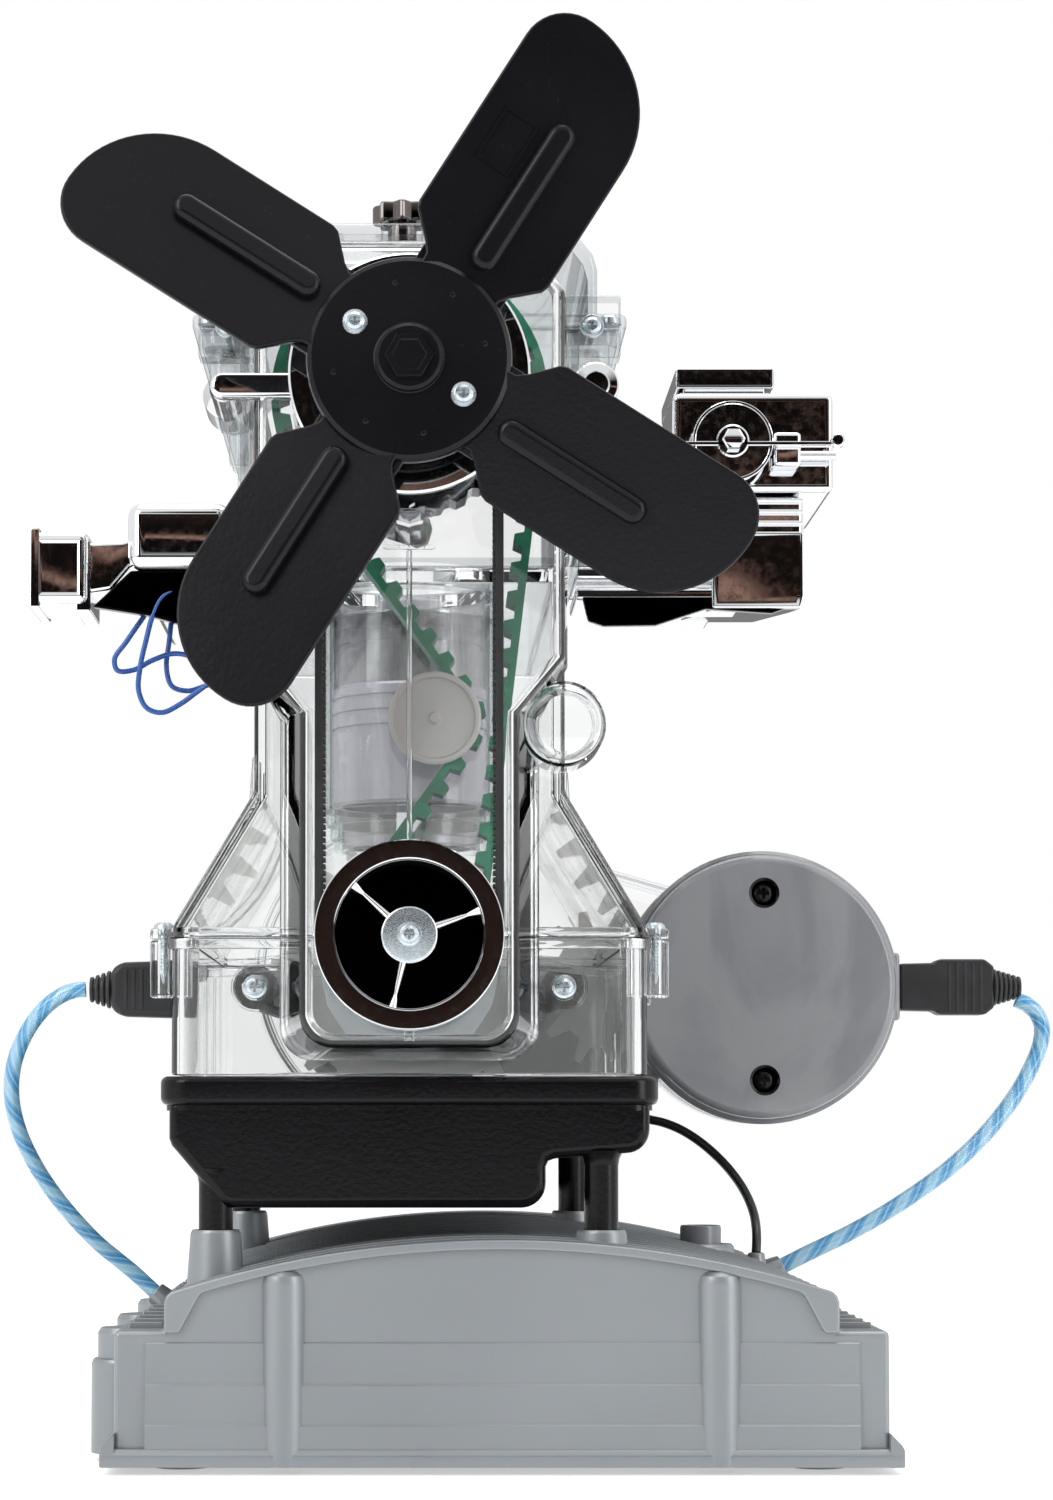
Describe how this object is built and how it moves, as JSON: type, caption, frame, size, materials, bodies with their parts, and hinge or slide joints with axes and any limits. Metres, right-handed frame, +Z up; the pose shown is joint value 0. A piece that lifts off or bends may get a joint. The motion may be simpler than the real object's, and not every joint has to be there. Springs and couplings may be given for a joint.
{
  "type": "engine model kit",
  "caption": "Transparent working model of an in-line piston engine with fan, timing belt, motor drum and a silver-grey base with a start button.",
  "frame": {"origin": "middle of the underside, on the surface that the feet stand on, measured without the cords and their plugs", "axes": "+X to the right seen from the fan, +Y from the fan to the gear housing, +Z up"},
  "size_m": [0.265, 0.2328, 0.3066],
  "materials": {
    "silver_plastic": "silver-grey moulded plastic, satin, with faint flow streaks",
    "black_plastic": "black moulded plastic, soft sheen",
    "clear_plastic": "clear polystyrene, polished",
    "plated_plastic": "bright chrome plating on moulded plastic",
    "zinc_screw": "zinc plated steel",
    "piston_plastic": "grey moulded plastic with a metallic pigment",
    "grey_plastic": "warm grey moulded plastic, glossy",
    "gear_plastic": "natural acetal",
    "steel": "drawn steel",
    "black_rubber": "moulded toothed rubber",
    "green_rubber": "green moulded rubber",
    "board": "green circuit board",
    "blue_cable": "clear light-blue flexible cable",
    "blue_wire": "thin blue wire",
    "black_lead": "thin black twin lead"
  },
  "bodies": {
    "engine": {"base_shell": "silver_plastic", "base_plate": "silver_plastic", "battery_door": "silver_plastic", "oil_pan": "black_plastic", "speaker": "black_plastic", "left_plug": "black_plastic", "right_plug": "black_plastic", "lower_crankcase": "clear_plastic", "cylinder_block": "clear_plastic", "front_cover": "clear_plastic", "cylinder_head": "clear_plastic", "valve_cover": "clear_plastic", "fan_bracket": "plated_plastic", "exhaust_manifold": "plated_plastic", "intake_manifold": "plated_plastic", "carburettor": "plated_plastic", "throttle_disc": "plated_plastic", "gear_housing": "plated_plastic", "cover_screw_left": "zinc_screw", "cover_screw_right": "zinc_screw", "motor_housing": "grey_plastic", "motor_cover": "grey_plastic", "motor": "steel", "tensioner_pin": "steel", "fan_belt": "black_rubber", "timing_belt": "green_rubber", "circuit_board": "board", "left_cable": "blue_cable", "right_cable": "blue_cable", "plug_wire_1": "blue_wire", "plug_wire_2": "blue_wire", "plug_wire_3": "blue_wire", "motor_lead": "black_lead"},
    "crank": {"crankshaft": "plated_plastic", "crank_pulley": "plated_plastic", "crank_pulley_screw": "zinc_screw", "crank_sprocket": "plated_plastic", "crank_gear": "gear_plastic"},
    "guide_ring_outer": {"guide_ring_outer": "steel"},
    "guide_ring_inner": {"guide_ring_inner": "steel"},
    "rod_1": {"connecting_rod_1": "plated_plastic"},
    "rod_2": {"connecting_rod_2": "plated_plastic"},
    "rod_3": {"connecting_rod_3": "plated_plastic"},
    "rod_4": {"connecting_rod_4": "plated_plastic"},
    "piston_1": {"piston_1": "piston_plastic"},
    "piston_2": {"piston_2": "piston_plastic"},
    "piston_3": {"piston_3": "piston_plastic"},
    "piston_4": {"piston_4": "piston_plastic"},
    "cam": {"camshaft": "plated_plastic", "cam_sprocket": "plated_plastic"},
    "tensioner": {"tensioner_roller": "grey_plastic"},
    "fan": {"fan": "black_plastic", "fan_pulley": "plated_plastic", "fan_screw_left": "zinc_screw", "fan_screw_right": "zinc_screw"},
    "idler": {"idler_gear": "gear_plastic"},
    "pinion": {"motor_pinion": "gear_plastic"},
    "start_button": {"start_button": "grey_plastic"},
    "filler_cap": {"oil_filler_cap": "plated_plastic"}
  },
  "joints": [
    {"name": "crank_spin", "type": "hinge", "parent": "engine", "child": "crank", "pos_m": [-0.0214, 0, 0.115], "axis": [0, 1, 0], "continuous": true},
    {"name": "rod_1_turn", "type": "hinge", "parent": "crank", "child": "rod_1", "pos_m": [-0.0214, -0.0381, 0.1027], "axis": [0, 1, 0], "continuous": true},
    {"name": "rod_2_turn", "type": "hinge", "parent": "crank", "child": "rod_2", "pos_m": [-0.0214, 0.0014, 0.1273], "axis": [0, 1, 0], "continuous": true},
    {"name": "rod_3_turn", "type": "hinge", "parent": "crank", "child": "rod_3", "pos_m": [-0.0214, 0.0409, 0.1273], "axis": [0, 1, 0], "continuous": true},
    {"name": "rod_4_turn", "type": "hinge", "parent": "crank", "child": "rod_4", "pos_m": [-0.0214, 0.0804, 0.1027], "axis": [0, 1, 0], "continuous": true},
    {"name": "guide_ring_outer_turn", "type": "hinge", "parent": "crank", "child": "guide_ring_outer", "pos_m": [-0.0214, -0.0485, 0.10885], "axis": [0, 1, 0], "continuous": true},
    {"name": "guide_ring_inner_turn", "type": "hinge", "parent": "crank", "child": "guide_ring_inner", "pos_m": [-0.0214, -0.009, 0.12115], "axis": [0, 1, 0], "continuous": true},
    {"name": "piston_1_lift", "type": "hinge", "parent": "guide_ring_outer", "child": "piston_1", "pos_m": [-0.0214, -0.0381, 0.1027], "axis": [0, 1, 0], "continuous": true},
    {"name": "piston_2_lift", "type": "hinge", "parent": "guide_ring_inner", "child": "piston_2", "pos_m": [-0.0214, 0.0014, 0.1273], "axis": [0, 1, 0], "continuous": true},
    {"name": "piston_3_lift", "type": "hinge", "parent": "guide_ring_inner", "child": "piston_3", "pos_m": [-0.0214, 0.0409, 0.1273], "axis": [0, 1, 0], "continuous": true},
    {"name": "piston_4_lift", "type": "hinge", "parent": "guide_ring_outer", "child": "piston_4", "pos_m": [-0.0214, 0.0804, 0.1027], "axis": [0, 1, 0], "continuous": true},
    {"name": "cam_spin", "type": "hinge", "parent": "engine", "child": "cam", "pos_m": [-0.0214, 0, 0.234], "axis": [0, 1, 0], "continuous": true},
    {"name": "fan_spin", "type": "hinge", "parent": "engine", "child": "fan", "pos_m": [-0.0214, -0.0931, 0.234], "axis": [0, 1, 0], "continuous": true},
    {"name": "tensioner_spin", "type": "hinge", "parent": "engine", "child": "tensioner", "pos_m": [-0.0159, -0.0731, 0.163], "axis": [0, 1, 0], "continuous": true},
    {"name": "idler_spin", "type": "hinge", "parent": "engine", "child": "idler", "pos_m": [0.03535, 0.1089, 0.11194], "axis": [0, 1, 0], "continuous": true},
    {"name": "motor_spin", "type": "hinge", "parent": "engine", "child": "pinion", "pos_m": [0.0712, 0.1089, 0.11], "axis": [0, 1, 0], "continuous": true},
    {"name": "start_button_press", "type": "slide", "parent": "engine", "child": "start_button", "axis": [0, 0, -1], "range_m": [0, 0.002], "stiffness_N_per_m": 250, "springref_m": -0.002},
    {"name": "filler_cap_lift", "type": "slide", "parent": "engine", "child": "filler_cap", "axis": [0, 0, 1], "range_m": [0, 0.012]}
  ],
  "couplings": [
    {"joint": "rod_1_turn", "follows": "crank_spin", "ratio": -1},
    {"joint": "rod_2_turn", "follows": "crank_spin", "ratio": -1},
    {"joint": "rod_3_turn", "follows": "crank_spin", "ratio": -1},
    {"joint": "rod_4_turn", "follows": "crank_spin", "ratio": -1},
    {"joint": "guide_ring_outer_turn", "follows": "crank_spin", "ratio": -2},
    {"joint": "guide_ring_inner_turn", "follows": "crank_spin", "ratio": -2},
    {"joint": "piston_1_lift", "follows": "crank_spin", "ratio": 1},
    {"joint": "piston_2_lift", "follows": "crank_spin", "ratio": 1},
    {"joint": "piston_3_lift", "follows": "crank_spin", "ratio": 1},
    {"joint": "piston_4_lift", "follows": "crank_spin", "ratio": 1},
    {"joint": "cam_spin", "follows": "crank_spin", "ratio": 0.5},
    {"joint": "fan_spin", "follows": "crank_spin", "ratio": 1},
    {"joint": "tensioner_spin", "follows": "crank_spin", "ratio": -2.0372},
    {"joint": "idler_spin", "follows": "crank_spin", "ratio": -1.7143},
    {"joint": "motor_spin", "follows": "crank_spin", "ratio": 2.4}
  ]
}
